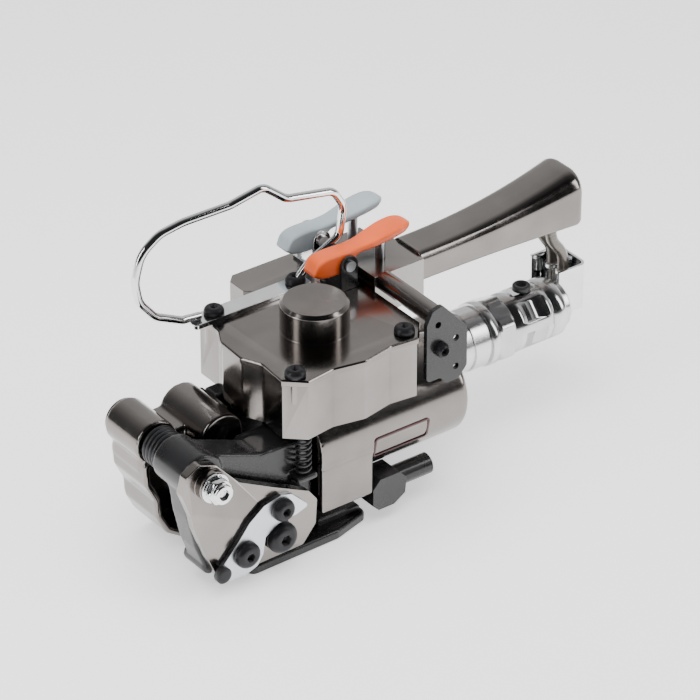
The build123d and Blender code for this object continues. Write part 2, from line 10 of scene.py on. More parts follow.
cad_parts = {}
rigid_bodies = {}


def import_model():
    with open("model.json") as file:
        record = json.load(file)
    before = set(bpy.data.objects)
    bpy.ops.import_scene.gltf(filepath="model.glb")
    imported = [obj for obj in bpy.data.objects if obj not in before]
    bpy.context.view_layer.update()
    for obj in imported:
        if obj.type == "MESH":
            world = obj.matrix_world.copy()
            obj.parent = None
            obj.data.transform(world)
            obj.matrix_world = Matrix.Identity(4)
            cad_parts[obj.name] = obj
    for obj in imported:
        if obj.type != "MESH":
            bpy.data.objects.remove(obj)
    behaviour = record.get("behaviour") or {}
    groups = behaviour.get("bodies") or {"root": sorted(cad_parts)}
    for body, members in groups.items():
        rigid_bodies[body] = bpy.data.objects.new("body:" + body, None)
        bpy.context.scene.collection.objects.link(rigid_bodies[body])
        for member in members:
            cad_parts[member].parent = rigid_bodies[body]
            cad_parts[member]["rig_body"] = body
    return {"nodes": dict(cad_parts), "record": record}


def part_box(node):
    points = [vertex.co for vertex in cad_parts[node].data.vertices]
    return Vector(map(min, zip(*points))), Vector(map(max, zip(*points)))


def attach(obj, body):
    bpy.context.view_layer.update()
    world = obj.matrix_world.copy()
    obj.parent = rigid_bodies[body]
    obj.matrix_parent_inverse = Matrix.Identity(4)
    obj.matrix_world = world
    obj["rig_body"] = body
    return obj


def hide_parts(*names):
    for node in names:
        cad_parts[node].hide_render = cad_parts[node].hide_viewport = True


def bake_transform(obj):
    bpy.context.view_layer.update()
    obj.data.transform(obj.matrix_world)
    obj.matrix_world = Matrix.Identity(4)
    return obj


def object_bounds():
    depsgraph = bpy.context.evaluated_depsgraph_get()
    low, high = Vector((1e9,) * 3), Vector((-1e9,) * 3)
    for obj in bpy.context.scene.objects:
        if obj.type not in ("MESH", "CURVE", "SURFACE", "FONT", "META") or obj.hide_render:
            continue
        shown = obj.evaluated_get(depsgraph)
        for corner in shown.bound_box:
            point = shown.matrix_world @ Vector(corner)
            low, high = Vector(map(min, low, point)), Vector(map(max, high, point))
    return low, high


bl_info = {
    "name": "Strapping Tensioner",
    "version": (1, 0, 0),
    "blender": (4, 5, 0),
    "location": "View3D > Sidebar > Tensioner",
    "description": "Builds the visible pieces of an air-driven strapping tensioner",
    "category": "Object",
}

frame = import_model()
frame_low, frame_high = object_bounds()

MM = 0.001
RIM_STEPS = 72
FLOOR_GLOW = 0.7
HANDLE_HOSE_X, BRACKET_HOSE_X = 190, 200
CAMERA_AZIMUTH, CAMERA_ELEVATION = -36.6, 32
CAMERA_LENS, CAMERA_DISTANCE = 223.7, 2.5
CAMERA_AIM = Vector((30, 10, 80))
AWAY_FROM_CAMERA = (0.596, 0.803, 0.0)
PIVOT = Vector((-0.104, 0.0, 0.076))
DRIVE_AXIS = (-0.011, 0.058)
MOTOR_AXIS = (0.015, 0.058)


# ------------------------------------------------------------------ finishes
FINISHES = {
    # name: colour, metallic, roughness low/high, grain per metre, bump mm, edge colour (edge wear and
    # painted highlight), coat
    "gunmetal": ((0.235, 0.215, 0.203), 1.0, 0.13, 0.22, 900, 0.008, (0.5, 0.48, 0.46), 0.2),
    "black_steel": ((0.01, 0.01, 0.011), 0.2, 0.22, 0.34, 1400, 0.005, (0.05, 0.05, 0.05), 0.3),
    "black_oxide": ((0.016, 0.016, 0.018), 0.5, 0.3, 0.45, 1200, 0.01, (0.09, 0.09, 0.09), 0.0),
    "chrome": ((0.86, 0.87, 0.88), 1.0, 0.05, 0.11, 300, 0.004, (0.9, 0.9, 0.9), 0.0),
    "bright_steel": ((0.62, 0.65, 0.68), 1.0, 0.28, 0.4, 500, 0.006, (0.85, 0.86, 0.87), 0.0),
    "turned_alloy": ((0.66, 0.66, 0.665), 1.0, 0.12, 0.22, 1500, 0.004, (0.9, 0.9, 0.9), 0.0),
    "orange_plastic": ((0.83, 0.115, 0.018), 0.0, 0.32, 0.45, 1500, 0.012, (0.9, 0.22, 0.07), 0.15),
    "grey_plastic": ((0.36, 0.42, 0.45), 0.0, 0.32, 0.45, 1500, 0.012, (0.5, 0.55, 0.58), 0.15),
    "spring_steel": ((0.03, 0.03, 0.033), 0.8, 0.28, 0.42, 800, 0.01, (0.15, 0.15, 0.15), 0.0),
    "hose_sheath": ((0.16, 0.14, 0.12), 0.45, 0.16, 0.3, 900, 0.02, (0.5, 0.46, 0.4), 0.6),
    "brass": ((0.62, 0.45, 0.2), 1.0, 0.22, 0.34, 900, 0.006, (0.8, 0.65, 0.35), 0.0),
    "gear_steel": ((0.32, 0.32, 0.33), 1.0, 0.3, 0.42, 900, 0.01, (0.6, 0.6, 0.6), 0.0),
    "label_ink": ((0.075, 0.03, 0.03), 0.2, 0.4, 0.5, 900, 0.01, (0.12, 0.06, 0.06), 0.0),
    "floor": ((0.93, 0.93, 0.93), 0.0, 0.55, 0.65, 60, 0.0, (0.93, 0.93, 0.93), 0.0),
}
BRUSHED = {"bright_steel": (1.0, 1.0, 14.0), "turned_alloy": (30.0, 1.0, 1.0),
    "gear_steel": (6.0, 1.0, 1.0)}


def noise_texture(nodes, links, vector, scale, detail):
    """A noise texture fed with a vector."""
    noise = nodes.new("ShaderNodeTexNoise")
    noise.inputs["Scale"].default_value = scale
    noise.inputs["Detail"].default_value = detail
    links.new(vector, noise.inputs["Vector"])
    return noise.outputs["Fac"]


def map_range(nodes, links, value, low, high, from_low=0.3, from_high=0.7):
    """Maps a texture value to a range of numbers."""
    node = nodes.new("ShaderNodeMapRange")
    node.inputs["From Min"].default_value = from_low
    node.inputs["From Max"].default_value = from_high
    node.inputs["To Min"].default_value = low
    node.inputs["To Max"].default_value = high
    links.new(value, node.inputs["Value"])
    return node.outputs["Result"]


def mix_colour(nodes, links, factor, first, second):
    """Mixes two colours, each a constant or a socket."""
    node = nodes.new("ShaderNodeMix")
    node.data_type = "RGBA"
    links.new(factor, node.inputs["Factor"])
    sockets = [s for s in node.inputs if s.type == "RGBA"]
    for socket, value in zip(sockets, (first, second)):
        if isinstance(value, bpy.types.NodeSocket):
            links.new(value, socket)
        else:
            socket.default_value = (*value, 1.0)
    return [s for s in node.outputs if s.type == "RGBA"][0]


def make_finish(name):
    """A finish with colour variation, uneven gloss, fine grain, and convex edges lightened, partly as edge
    wear and partly as a painted highlight.
    """
    colour, metallic, rough_low, rough_high, grain, bump_mm, edge_wear_and_highlight_colour, coat = FINISHES[name]
    colour = tuple(getattr(sizes(), f"{name}_colour", colour))
    material = bpy.data.materials.new(f"{name}_finish")
    material.use_nodes = True
    nodes, links = material.node_tree.nodes, material.node_tree.links
    shader = nodes["Principled BSDF"]
    shader.inputs["Metallic"].default_value = metallic
    shader.inputs["Coat Weight"].default_value = coat
    shader.inputs["Coat Roughness"].default_value = 0.12
    coordinates = nodes.new("ShaderNodeTexCoord")
    mapping = nodes.new("ShaderNodeMapping")
    mapping.inputs["Scale"].default_value = BRUSHED.get(name, (1.0, 1.0, 1.0))
    links.new(coordinates.outputs["Object"], mapping.inputs["Vector"])
    cloudy = noise_texture(nodes, links, coordinates.outputs["Object"], 38.0, 4.0)
    fine = noise_texture(nodes, links, mapping.outputs["Vector"], grain, 3.0)
    spread = 0.0 if name == "floor" else 1.0
    darker = tuple((1 - 0.14 * spread) * c for c in colour)
    lighter = tuple(min(1.0, (1 + 0.08 * spread) * c) for c in colour)
    shade = mix_colour(nodes, links, map_range(nodes, links, cloudy, 0.0, 1.0), darker, lighter)
    if name != "floor":
        # Convex edges found by pointiness are mixed towards a lighter colour: partly edge wear, partly a
        # painted highlight along the edges.
        geometry = nodes.new("ShaderNodeNewGeometry")
        edge = map_range(nodes, links, geometry.outputs["Pointiness"], 0.0, 0.75, 0.53, 0.62)
        shade = mix_colour(nodes, links, edge, shade, edge_wear_and_highlight_colour)
    links.new(shade, shader.inputs["Base Color"])
    if name == "floor":
        shader.inputs["Emission Color"].default_value = (1.0, 1.0, 1.0, 1.0)
        shader.inputs["Emission Strength"].default_value = FLOOR_GLOW
    uneven = nodes.new("ShaderNodeMath")
    uneven.operation = "ADD"
    links.new(map_range(nodes, links, cloudy, rough_low, rough_high), uneven.inputs[0])
    links.new(map_range(nodes, links, fine, -0.03, 0.05), uneven.inputs[1])
    links.new(uneven.outputs[0], shader.inputs["Roughness"])
    if bump_mm > 0:
        bump = nodes.new("ShaderNodeBump")
        bump.inputs["Strength"].default_value = 0.6
        bump.inputs["Distance"].default_value = bump_mm * MM
        height = braid(nodes, links, coordinates, fine) if name == "hose_sheath" else fine
        links.new(height, bump.inputs["Height"])
        links.new(bump.outputs["Normal"], shader.inputs["Normal"])
    return material


def braid(nodes, links, coordinates, fine):
    """The crossed wires of a braided hose, seen through its sheath."""
    total = fine
    for turn in (0.8, -0.8):
        mapping = nodes.new("ShaderNodeMapping")
        mapping.inputs["Rotation"].default_value = (turn, turn, 0.0)
        links.new(coordinates.outputs["Object"], mapping.inputs["Vector"])
        wave = nodes.new("ShaderNodeTexWave")
        wave.bands_direction = "Z"
        wave.inputs["Scale"].default_value = 260.0
        links.new(mapping.outputs["Vector"], wave.inputs["Vector"])
        both = nodes.new("ShaderNodeMath")
        both.operation = "ADD"
        links.new(total, both.inputs[0])
        links.new(wave.outputs["Fac"], both.inputs[1])
        total = both.outputs[0]
    return total


def finish(name):
    """The named finish, made the first time it is asked for."""
    return bpy.data.materials.get(f"{name}_finish") or make_finish(name)


# ------------------------------------------------------------------ mesh helpers
def piece(name, mesh, body, coat, nodes=()):
    """Links a mesh as a piece of the tool, in its finish, on its body."""
    mesh.materials.clear()
    mesh.materials.append(finish(coat))
    mesh.shade_smooth()
    made = bpy.data.objects.new(name, mesh)
    bpy.context.scene.collection.objects.link(made)
    if body:
        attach(made, body)
    if nodes:
        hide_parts(*nodes)
    return made


def mesh_of(name, points, faces, recalculate=True):
    """A mesh from points in millimetres and faces."""
    mesh = bpy.data.meshes.new(name)
    mesh.from_pydata([Vector(p) * MM for p in points], [], faces)
    if recalculate:
        work = bmesh.new()
        work.from_mesh(mesh)
        bmesh.ops.remove_doubles(work, verts=work.verts, dist=0.01 * MM)
        bmesh.ops.recalc_face_normals(work, faces=work.faces)
        work.to_mesh(mesh)
        work.free()
    return mesh


def bevel(made, width, segments=2, angle=32):
    """A live rounded edge on every corner sharper than the angle."""
    modifier = made.modifiers.new("edges", "BEVEL")
    modifier.width = width * MM
    modifier.segments = segments
    modifier.limit_method = "ANGLE"
    modifier.angle_limit = math.radians(angle)
    modifier.harden_normals = True
    return made


def merged_copy(node):
    """A copy of a frame node's mesh with its loose triangles joined and its flats cleaned."""
    mesh = frame["nodes"][node].data.copy()
    if "custom_normal" in mesh.attributes:
        mesh.attributes.remove(mesh.attributes["custom_normal"])
    work = bmesh.new()
    work.from_mesh(mesh)
    bmesh.ops.remove_doubles(work, verts=work.verts, dist=0.002 * MM)
    bmesh.ops.dissolve_limit(work, angle_limit=math.radians(0.6), verts=work.verts, edges=work.edges)
    work.to_mesh(mesh)
    work.free()
    return mesh


def machined(node, name, width, coat, segments=2):
    """A machined piece: the frame's own shape with fine broken edges."""
    body = frame["nodes"][node]["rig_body"]
    return bevel(piece(name, merged_copy(node), body, coat, [node]), width, segments)


def casting(node, name, grain_mm, softness, coat):
    """A cast piece: the frame's shape with every corner softened."""
    body = frame["nodes"][node]["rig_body"]
    made = piece(name, merged_copy(node), body, coat, [node])
    remesh = made.modifiers.new("skin", "REMESH")
    remesh.mode = "VOXEL"
    remesh.voxel_size = grain_mm * MM
    remesh.use_smooth_shade = True
    smooth = made.modifiers.new("soften", "SMOOTH")
    smooth.factor = 0.5
    smooth.iterations = softness
    return made


def rounded(corners, steps=6, closed=True):
    """Outline through (a, b, radius) corners, each turned into a tangent arc."""
    outline = []
    count = len(corners)
    for index, (a, b, radius) in enumerate(corners):
        here = Vector((a, b))
        if not closed and index in (0, count - 1):
            outline.append(here)
            continue
        before = Vector(corners[index - 1][:2]) - here
        after = Vector(corners[(index + 1) % count][:2]) - here
        half = before.angle(after) / 2
        cut = min(radius / math.tan(half), 0.48 * min(before.length, after.length))
        reach = cut * math.tan(half)
        centre = here + (before.normalized() + after.normalized()).normalized() * (reach / math.sin(half))
        start = here + before.normalized() * cut - centre
        end = here + after.normalized() * cut - centre
        turn = start.angle_signed(end) * -1
        for step in range(steps + 1):
            arc = start.copy()
            arc.rotate(Matrix.Rotation(turn * step / steps, 2))
            outline.append(centre + arc)
    return outline


def prism(name, outline, low, high, plane="xz"):
    """A closed slab of an outline, between two distances on the third axis."""
    place = {"xz": lambda p, d: (p[0], d, p[1]), "xy": lambda p, d: (p[0], p[1], d), "yz": lambda p,
        d: (d, p[0], p[1])}[plane]
    count = len(outline)
    points = [place(p, low) for p in outline] + [place(p, high) for p in outline]
    faces = [tuple(range(count)), tuple(range(2 * count - 1, count - 1, -1))]
    faces += [(i, (i + 1) % count, count + (i + 1) % count, count + i) for i in range(count)]
    return mesh_of(name, points, faces)


def turned(name, rings, centre, axis, steps=RIM_STEPS):
    """A solid of rings along an axis; a ring is (distance, radius) or (distance, radius by angle)."""
    spin = Vector((0, 0, 1)).rotation_difference(Vector(axis)).to_matrix()
    points, faces = [], []
    for distance, radius in rings:
        for step in range(steps):
            angle = 2 * math.pi * step / steps
            reach = radius(angle) if callable(radius) else radius
            local = Vector((reach * math.cos(angle), reach * math.sin(angle), distance))
            points.append(spin @ local + Vector(centre))
    for ring in range(len(rings) - 1):
        for step in range(steps):
            a, b = ring * steps + step, ring * steps + (step + 1) % steps
            faces.append((a, b, b + steps, a + steps))
    faces.append(tuple(range(steps - 1, -1, -1)))
    last = (len(rings) - 1) * steps
    faces.append(tuple(range(last, last + steps)))
    return mesh_of(name, points, faces)


def curve_at(points, x):
    """Height at x of a smooth curve through (x, height) points."""
    index = max(0, min(len(points) - 2, sum(1 for p in points if p[0] <= x) - 1))
    (x0, z0), (x1, z1) = points[index], points[index + 1]
    before, after = points[max(0, index - 1)], points[min(len(points) - 1, index + 2)]
    slope0 = (z1 - before[1]) / (x1 - before[0])
    slope1 = (after[1] - z0) / (after[0] - x0)
    run = x1 - x0
    t = (x - x0) / run
    return (
        (2 * t**3 - 3 * t**2 + 1) * z0 + (t**3 - 2 * t**2 + t) * run * slope0
        + (3 * t**2 - 2 * t**3) * z1 + (t**3 - t**2) * run * slope1
    )


def ringed(name, rings):
    """A closed skin over rings that all have the same number of points."""
    count = len(rings[0])
    points = [p for ring in rings for p in ring]
    faces = [tuple(range(count)), tuple(range(len(points) - 1, len(points) - count - 1, -1))]
    for start in range(0, len(points) - count, count):
        for step in range(count):
            a, b = start + step, start + (step + 1) % count
            faces.append((a, b, b + count, a + count))
    return mesh_of(name, points, faces)


def hexagon(flat_radius, limit=1e9, turn=0.0):
    """Radius by angle of a hexagon, cut off by a round limit."""
    def reach(angle):
        near = (angle - turn) % (math.pi / 3) - math.pi / 6
        return min(limit, flat_radius / math.cos(near))
    return reach


def button_rings(radius, height, socket, depth):
    """Rings of a domed screw head with a hexagonal socket."""
    rings = [(0, radius * 0.94), (0.06 * height, radius), (0.3 * height, radius)]
    for step in range(1, 7):
        share = step / 6
        rings.append((height * (0.3 + 0.7 * math.sin(share * math.pi / 2)),
            radius * (1 - 0.42 * (1 - math.cos(share * math.pi / 2)))))
    rings += [(height, socket * 1.25), (height - 0.15, hexagon(socket)), (height - depth, hexagon(socket))]
    rings += [(height - depth - 0.4, socket * 0.4)]
    return rings


def joined(name, meshes):
    """Several meshes as one."""
    work = bmesh.new()
    for mesh in meshes:
        work.from_mesh(mesh)
    made = bpy.data.meshes.new(name)
    work.to_mesh(made)
    work.free()
    return made


def tube_mesh(name, points, radius, sides=14, smooth_order=0, cyclic=False):
    """A round tube along points in millimetres, closed at its ends."""
    curve = bpy.data.curves.new(name, "CURVE")
    curve.dimensions = "3D"
    curve.bevel_depth = radius * MM
    curve.bevel_resolution = sides // 2 - 1
    curve.use_fill_caps = True
    curve.resolution_u = 12
    spline = curve.splines.new("NURBS" if smooth_order else "POLY")
    spline.points.add(len(points) - 1)
    for point, place in zip(spline.points, points):
        point.co = (*[c * MM for c in place], 1.0)
    if smooth_order:
        spline.order_u = smooth_order
        spline.use_endpoint_u = True
    helper = bpy.data.objects.new(name, curve)
    bpy.context.scene.collection.objects.link(helper)
    bpy.context.view_layer.update()
    depsgraph = bpy.context.evaluated_depsgraph_get()
    mesh = bpy.data.meshes.new_from_object(helper.evaluated_get(depsgraph), depsgraph=depsgraph)
    bpy.data.objects.remove(helper)
    bpy.data.curves.remove(curve)
    return mesh


# ------------------------------------------------------------------ sizes a user may change
class TensionerSizes(bpy.types.PropertyGroup):
    """Sizes and colours of the visible details"""

    casting_grain: bpy.props.FloatProperty(
        name="Casting Grain", description="Mesh size of the cast skins", default=0.9 * MM,
        min=0.5 * MM, unit="LENGTH", precision=4,
    )
    casting_softness: bpy.props.IntProperty(
        name="Casting Softness", description="Smoothing passes on cast corners", default=9, min=0
    )
    plate_edge: bpy.props.FloatProperty(
        name="Plate Edge", description="Rounded edge of the guide plate", default=0.6 * MM,
        min=0.0 * MM, unit="LENGTH", precision=4,
    )
    cover_edge: bpy.props.FloatProperty(
        name="Cover Edge", description="Rounded edge of the top cover", default=1.5 * MM,
        min=0.0 * MM, unit="LENGTH", precision=4,
    )
    wire_radius: bpy.props.FloatProperty(
        name="Hanger Wire Radius", description="Half the thickness of the hanger wire", default=2.5 * MM,
        min=1.0 * MM, unit="LENGTH", precision=4,
    )
    hose_radius: bpy.props.FloatProperty(
        name="Hose Radius", description="Half the thickness of each hose", default=3.5 * MM,
        min=1.0 * MM, unit="LENGTH", precision=4,
    )
    lever_edge: bpy.props.FloatProperty(
        name="Lever Edge", description="Rounded edge of the thumb levers", default=1.9 * MM,
        min=0.2 * MM, unit="LENGTH", precision=4,
    )
    frame_line: bpy.props.FloatProperty(
        name="Label Line", description="Width of the frame line of the blank label", default=1.2 * MM,
        min=0.3 * MM, unit="LENGTH", precision=4,
    )
    gunmetal_colour: bpy.props.FloatVectorProperty(
        name="Gunmetal", description="Colour of the plated housings and the handle",
        default=FINISHES["gunmetal"][0], min=0.0, max=1.0, size=3, subtype="COLOR",
    )
    black_steel_colour: bpy.props.FloatVectorProperty(
        name="Black Steel", description="Colour of the base, the rocker arm and the side bracket",
        default=FINISHES["black_steel"][0], min=0.0, max=1.0, size=3, subtype="COLOR",
    )
    chrome_colour: bpy.props.FloatVectorProperty(
        name="Chrome", description="Colour of the hanger, the bolt and the hose bracket",
        default=FINISHES["chrome"][0], min=0.0, max=1.0, size=3, subtype="COLOR",
    )
    turned_alloy_colour: bpy.props.FloatVectorProperty(
        name="Turned Alloy", description="Colour of the air motor",
        default=FINISHES["turned_alloy"][0], min=0.0, max=1.0, size=3, subtype="COLOR",
    )
    orange_plastic_colour: bpy.props.FloatVectorProperty(
        name="Orange Plastic", description="Colour of the tension lever",
        default=FINISHES["orange_plastic"][0], min=0.0, max=1.0, size=3, subtype="COLOR",
    )
    grey_plastic_colour: bpy.props.FloatVectorProperty(
        name="Grey Plastic", description="Colour of the weld lever",
        default=FINISHES["grey_plastic"][0], min=0.0, max=1.0, size=3, subtype="COLOR",
    )
    hose_sheath_colour: bpy.props.FloatVectorProperty(
        name="Hose Sheath", description="Colour of the hoses",
        default=FINISHES["hose_sheath"][0], min=0.0, max=1.0, size=3, subtype="COLOR",
    )


def sizes():
    """The sizes of this scene."""
    return bpy.context.scene.tensioner_sizes


# ------------------------------------------------------------------ operators
class TENSIONER_OT_castings(bpy.types.Operator):
    """Make the cast housings of the tool"""

    bl_idname = "tensioner.castings"
    bl_label = "Castings"

    def execute(self, context):
        s = sizes()
        for node, coat in (("front_housing", "gunmetal"), ("rocker_arm", "black_steel"),
            ("drive_housing", "gunmetal"), ("side_frame", "black_steel")):
            casting(node, f"{node}_casting", s.casting_grain / MM, s.casting_softness, coat)
        return {"FINISHED"}


class TENSIONER_OT_machined(bpy.types.Operator):
    """Make the machined plates, blocks, pins and the gear case"""

    bl_idname = "tensioner.machined"
    bl_label = "Machined Pieces"

    def execute(self, context):
        edge, cover_edge = sizes().plate_edge / MM, sizes().cover_edge / MM
        rows = (
            ("gear_case", 1.0, "gunmetal"), ("top_cover", cover_edge, "gunmetal"),
            ("valve_block", 1.4, "gunmetal"),
            ("rocker_plate", 1.0, "gunmetal"), ("tie_tube", 0.5, "gunmetal"),
            ("base_plate", 1.0, "black_steel"),
            ("side_bracket", 0.5, "black_steel"), ("guide_plate", edge, "bright_steel"),
            ("rear_guide", 1.0, "black_steel"),
            ("tension_lever_bracket", 0.4, "black_steel"), ("weld_lever_bracket", 0.4, "chrome"),
            ("pivot_end_cap", 0.5, "gunmetal"), ("pivot_washer", 0.3, "chrome"),
            ("motor_end_cap", 0.4, "turned_alloy"),
        )
        for node, width, coat in rows:
            machined(node, f"{node}_piece", width, coat)
        return {"FINISHED"}


class TENSIONER_OT_handle(bpy.types.Operator):
    """Make the flared handle"""

    bl_idname = "tensioner.handle"
    bl_label = "Handle"

    def execute(self, context):
        low, high = (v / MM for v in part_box("handle"))
        front, back, bottom, top = low.x, high.x, low.z, high.z
        middle = (low.y + high.y) / 2
        stations = 26
        spans = [(front + (back - 4.4 - front) * index / stations, 0.0) for index in range(stations + 1)]
        spans += [(back + inset, shrink) for inset, shrink in ((-2.6, 0.5), (-1.2, 1.3), (-0.3,
            2.6), (0.0, 4.2))]
        rings = []
        for x, shrink in spans:
            flare = ((x - front) / (back - front)) ** 2.2
            width = 14.0 + (high.y - low.y - 28.2) / 2 * flare - shrink
            roof = 128 + (top - 128) * flare - shrink
            crown = 6 + 6 * flare
            outline = rounded(
                [(-width, bottom + shrink, 2.2), (width, bottom + shrink, 2.2), (width, roof, crown),
                 (-width, roof, crown)], 7
            )
            rings.append([(x, middle + p[0], p[1]) for p in outline])
        bevel(piece("handle_shell", ringed("handle_shell", rings), "root", "gunmetal", ["handle"]),
            0.6, 2, 60)
        return {"FINISHED"}


class TENSIONER_OT_levers(bpy.types.Operator):
    """Make the two thumb levers"""

    bl_idname = "tensioner.levers"
    bl_label = "Thumb Levers"

    def execute(self, context):
        top = [
            (17, 134), (20, 139.5), (25, 141.6), (34, 142), (44, 141.6), (56, 142.6), (68, 145),
            (78, 146.4),
            (84, 146), (87, 144.4),
        ]
        bottom = [
            (17, 132.4), (21, 130), (26, 128.6), (36, 128.1), (42, 129.2), (45, 133.5), (48, 136.7),
            (56, 137.7),
            (68, 139.7), (80, 141.2), (87, 143),
        ]
        half = [(17, 5.2), (19, 5.9), (30, 6), (50, 6), (60, 7.4), (70, 8.3), (77, 8)]
        places = [17 + 0.35 * step for step in range(8)] + [20 + step for step in range(58)]
        places += [77 + 10 * math.sin(step * math.pi / 24) for step in range(1, 13)]
        edge = sizes().lever_edge / MM
        for node, coat, shift in (("tension_lever", "orange_plastic", 0.0),
            ("weld_lever", "grey_plastic", 4.0)):
            low, high = (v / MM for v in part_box(node))
            middle = (low.y + high.y) / 2
            rings = []
            for x in places:
                width = curve_at(half, x) if x <= 77 else 8 * math.sqrt(max(0.0,
                    1 - ((x - 77) / 10.4) ** 2))
                under, over = curve_at(bottom, x), curve_at(top, x)
                corner = min(edge, 0.45 * (over - under), 0.8 * width)
                outline = rounded(
                    [(-width, under, corner), (width, under, corner), (width, over, corner),
                    (-width, over, corner)], 4
                )
                place_x = min(max(x + shift, low.x), high.x)
                rings.append([(place_x, middle + p[0], min(max(p[1], low.z), high.z)) for p in outline])
            body = frame["nodes"][node]["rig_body"]
            made = piece(f"{node}_moulding", ringed(f"{node}_moulding", rings), body, coat, [node])
            made.data.set_sharp_from_angle(angle=math.radians(50))
        return {"FINISHED"}


class TENSIONER_OT_hanger(bpy.types.Operator):
    """Make the bent wire hanger and its strap"""

    bl_idname = "tensioner.hanger"
    bl_label = "Hanger"

    def execute(self, context):
        low, high = (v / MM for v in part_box("hanger"))
        middle = (low.y + high.y) / 2
        bends = [
            (-50, 122.8, 0), (-62, 124.2, 6), (-80, 133, 16), (-90.5, 146, 16), (-93, 160, 18),
            (-88.5, 176.5, 18), (-76, 185, 16),
            (-60, 187.4, 40), (-28, 187.2, 20), (-5, 191.3, 9), (11, 178.2, 14), (44, 172, 9),
            (51.3, 160, 12), (48, 141, 7),
            (28, 131.5, 7), (19, 122.8, 0),
        ]
        path = [(p[0], middle, p[1]) for p in rounded(bends, 8, closed=False)]
        wire = tube_mesh("hanger_wire", path, sizes().wire_radius / MM, 20)
        piece("hanger_wire", wire, "root", "chrome", ["hanger"])
        strap = rounded([(-57, low.y, 3), (25, low.y, 3), (25, high.y, 3), (-57, high.y, 3)], 5)
        cover_top = low.z
        bevel(piece("hanger_strap", prism("hanger_strap", strap, cover_top, cover_top + 3, "xy"),
            "root", "chrome", ["hanger"]), 0.5)
        return {"FINISHED"}


class TENSIONER_OT_screws(bpy.types.Operator):
    """Make the screws, bolts and plugs"""

    bl_idname = "tensioner.screws"
    bl_label = "Screws"

    def execute(self, context):
        heads = []
        for x, y, seat in ((-39, -35, 118), (37, -35, 118), (-40, 42, 121), (17, 42, 121)):
            heads.append(turned("head", button_rings(6.0, 4.5, 2.1, 2.6), (x, y, seat), (0, 0, 1)))
        piece("cover_screw_heads", joined("cover_screw_heads", heads), "root", "black_oxide",
            ["cover_screws"])
        heads = []
        for x, z, radius in ((-57, 42, 7.0), (-82, 21.5, 8.0)):
            heads.append(turned("head", button_rings(radius, 5.4, 2.4, 3.0), (x, -46, z), (0, -1, 0)))
        piece("guide_screw_heads", joined("guide_screw_heads", heads), "rocker", "black_oxide",
            ["guide_screws"])
        low, high = (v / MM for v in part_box("feed_shaft"))
        middle_x, middle_z = (low.x + high.x) / 2, (low.z + high.z) / 2
        head = turned("head", button_rings(9.5, 6.4, 3.0, 3.4), (middle_x, -44.1, middle_z), (0, -1, 0))
        shaft = turned("shaft", [(0, 4.6), (0.4, 5.0), (35.6, 5.0), (36, 4.6)],
            (middle_x, -8, middle_z), (0, -1, 0))
        piece("feed_shaft_turned", joined("feed_shaft_turned", [head, shaft]), "feed_roll",
            "black_oxide", ["feed_shaft"])
        pin = turned("guide_pin", [(0, 5.0), (3.2, 5.0), (3.8, 4.4), (4.0, 3.0)], (-99, -46, 15),
            (0, -1, 0))
        piece("guide_pin_turned", pin, "rocker", "black_oxide", ["guide_pin"])
        screw = turned("bracket_screw", button_rings(4.5, 4.9, 2.3, 3.0), (56.5, -43.05, 104), (0, -1, 0))
        piece("bracket_screw_head", screw, "root", "black_oxide", ["bracket_screw"])
        plug = turned("motor_plug", [(0, 4.6), (0.5, 5.5), (3.1, 5.5), (3.8, 4.9), (3.9, 3.2), (1.4,
            2.8)], (162, 15, 76.6), (0, 0, 1))
        piece("motor_plug_turned", plug, "rocker", "black_oxide", ["motor_plug"])
        centre = (PIVOT.x / MM, -49.85, PIVOT.z / MM)
        nut = turned("nut", [(0, hexagon(7.0, 7.2)), (0.5, hexagon(7.0, 7.9)), (4.8, hexagon(7.0,
            7.9)), (5.4, hexagon(7.0, 7.0)), (5.4, 5.6)], centre, (0, -1, 0))
        rings = [(0, 5.9), (0.4, 6.1), (2.3, 6.1), (2.8, 5.6), (2.8, 3.6), (2.6, hexagon(2.9)),
            (-1.0, hexagon(2.9))]
        cap = turned("cap", rings, (centre[0], -55.3, centre[2]), (0, -1, 0))
        bolt = joined("pivot_bolt", [nut, cap])
        piece("pivot_bolt_head", bolt, "root", "chrome", ["pivot_bolt"])
        return {"FINISHED"}


class TENSIONER_OT_motor(bpy.types.Operator):
    """Make the air motor's turned sleeves, its nut and its body"""

    bl_idname = "tensioner.motor"
    bl_label = "Air Motor"

    def execute(self, context):
        y, z = (c / MM for c in MOTOR_AXIS)
        centre = (0, y, z)
        along = (1, 0, 0)
        sleeve = [
            (95, 17.6), (96, 18.6), (112, 18.6), (112.4, 17.9), (114, 17.9), (114.4, 18.9),
            (124.6, 18.9), (125, 18.1),
            (126.6, 18.1), (127, 19.6), (128, 20.0), (131.8, 20.0), (132.8, 19.2), (133, 18),
        ]
        piece("motor_sleeve_turned", bevel_free(turned("motor_sleeve", sleeve, centre, along)),
            "rocker", "turned_alloy", ["motor_sleeve"])
        nut = [(133, hexagon(18.6, 18.9)), (134.4, hexagon(18.6, 20.9)),
            (143.4, hexagon(18.6, 20.9)), (145, hexagon(18.6, 18.7))]
        bevel(piece("motor_nut_turned", turned("motor_nut", nut, centre, along), "rocker",
            "turned_alloy", ["motor_nut"]), 0.3, 2, 20)
        flats = hexagon(17.2, 18.5, 0.3)
        body = [
            (145, 17.4), (145.6, 18.2), (149, 18.2), (149.3, 18.5), (154, 18.5), (154.01, flats),
            (169, flats), (169.01, 18.5),
            (173, 18.5), (173.3, 17.9), (174.4, 17.9), (174.7, 18.5), (182.4, 18.5), (183.6, 17.7),
            (184, 16),
        ]
        piece("motor_body_turned", turned("motor_body", body, centre, along), "rocker",
            "turned_alloy", ["motor_body"])
        return {"FINISHED"}


def bevel_free(mesh):
    """Marks the mesh's sharp turns so that they stay crisp under smooth shading."""
    mesh.shade_smooth()
    mesh.set_sharp_from_angle(angle=math.radians(40))
    return mesh


